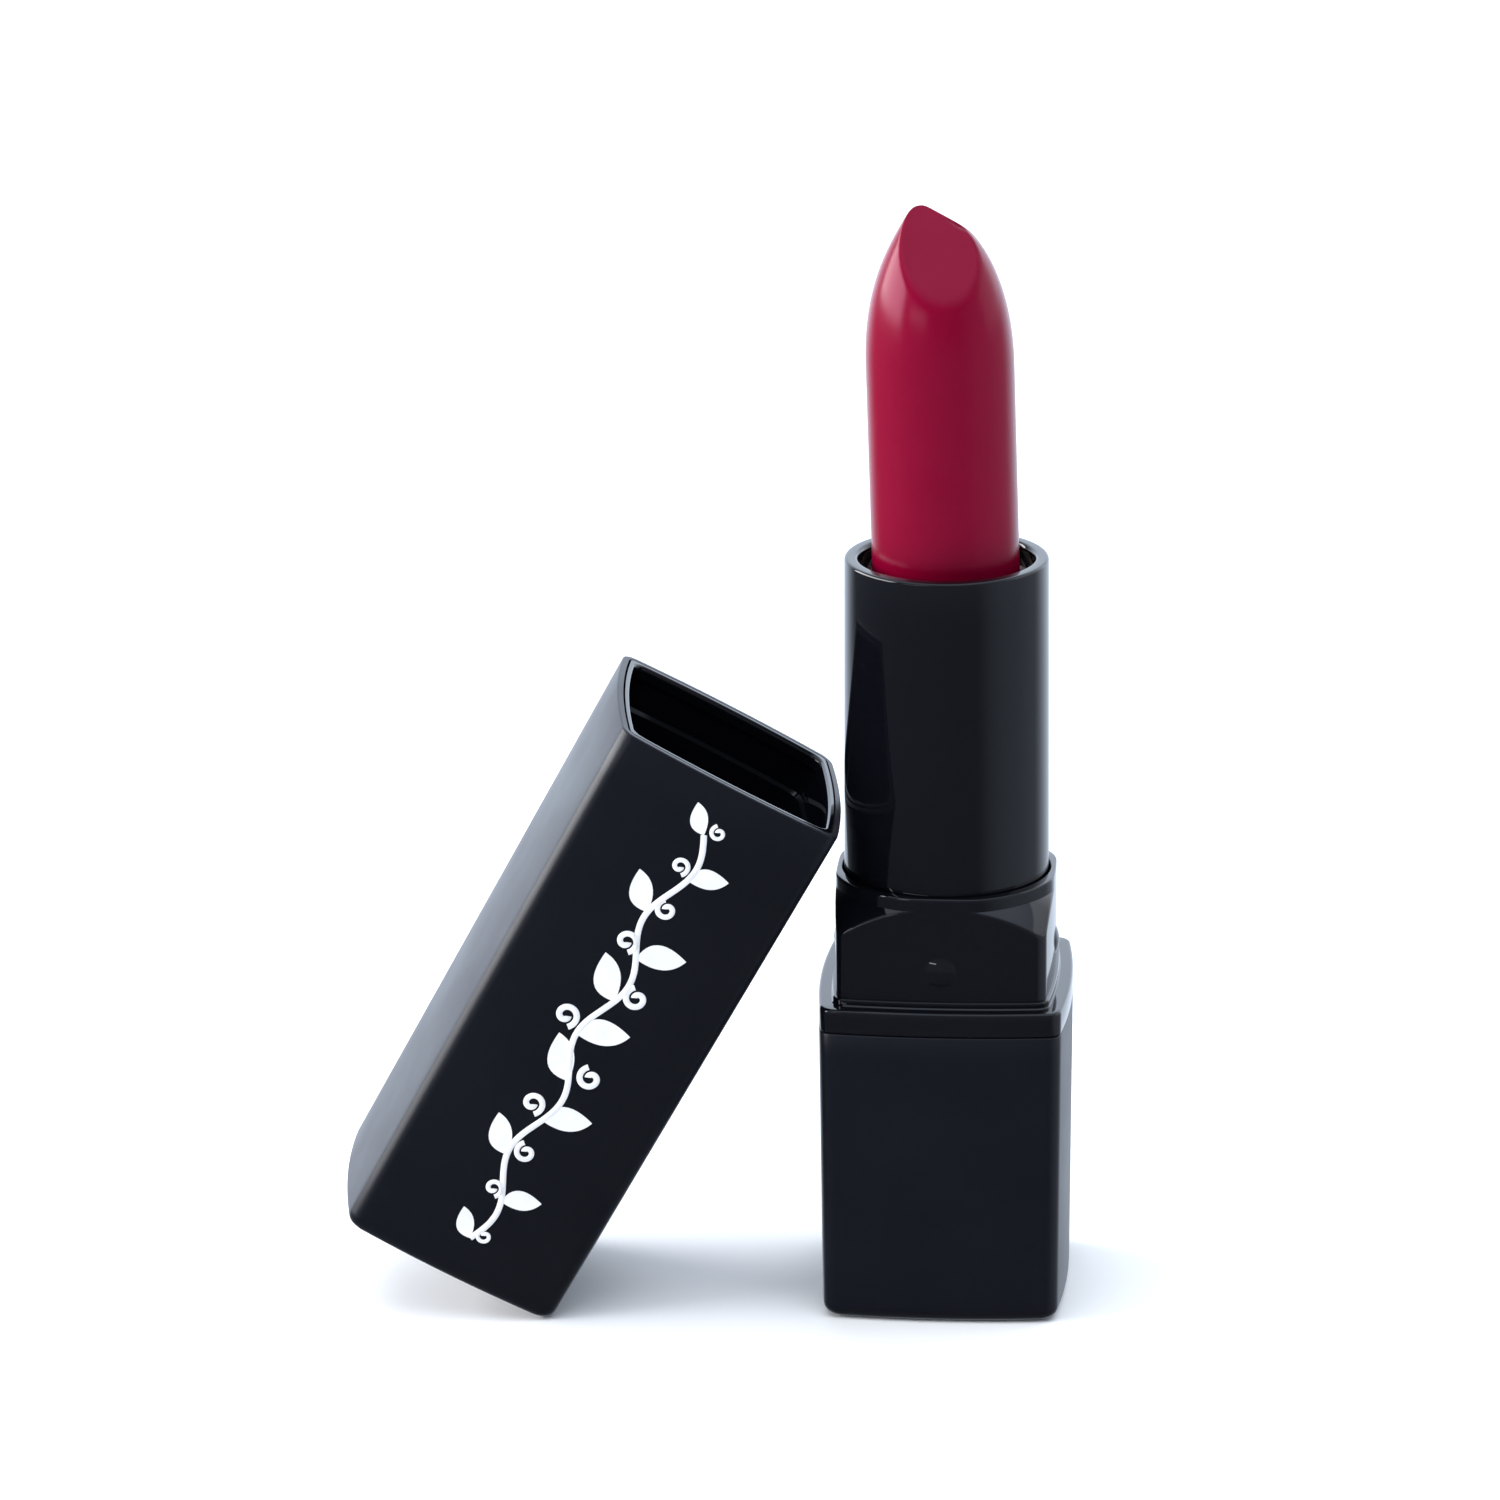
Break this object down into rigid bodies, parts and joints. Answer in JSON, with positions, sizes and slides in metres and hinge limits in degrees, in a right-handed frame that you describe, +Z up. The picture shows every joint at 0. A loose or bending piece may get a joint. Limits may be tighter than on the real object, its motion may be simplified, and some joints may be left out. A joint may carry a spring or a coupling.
{
  "type": "lipstick case",
  "caption": "Square swivel lipstick with a matt black base and a gloss black turning sleeve, crimson lipstick raised, square cap leaning against it.",
  "frame": {"origin": "centre of the base's underside, on the surface it stands on", "axes": "+Z up along the case, -Y towards the lipstick's cut face, -X towards the side where the cap leans"},
  "size_m": [0.0611, 0.0239, 0.0927],
  "materials": {
    "soft_touch_black": "soft-touch matt coat",
    "gloss_black": "high gloss",
    "inner_black": "plain moulded",
    "weight_steel": "turned",
    "label_film": "smooth label stock",
    "silicone": "satin",
    "spiral_white": "plain moulded",
    "cup_pale": "satin moulded",
    "lipstick_crimson": "waxy satin"
  },
  "bodies": {
    "base": {"base_shell": "soft_touch_black", "base_insert": "inner_black", "base_weight": "weight_steel", "shade_label": "label_film", "collar": "gloss_black", "guide_tube": "inner_black", "brake_ring": "silicone"},
    "turning_tube": {"tube_sleeve": "gloss_black", "spiral_sleeve": "spiral_white"},
    "lipstick": {"cup": "cup_pale", "bullet": "lipstick_crimson"},
    "cap": {"cap_shell": "soft_touch_black", "cap_liner": "gloss_black"}
  },
  "joints": [
    {"name": "swivel", "type": "hinge", "parent": "base", "child": "turning_tube", "pos_m": [0, 0, 0.03], "axis": [0, 0, 1], "range_deg": [0, 675]},
    {"name": "bullet_rise", "type": "slide", "parent": "base", "child": "lipstick", "axis": [0, 0, 1], "range_m": [-0.03, 0]},
    {"name": "cap_lift", "type": "slide", "parent": "base", "child": "cap", "axis": [0, 0, 1], "range_m": [0, 0.1]}
  ],
  "couplings": [
    {"joint": "bullet_rise", "follows": "swivel", "m_per_rad": -0.0025465}
  ]
}
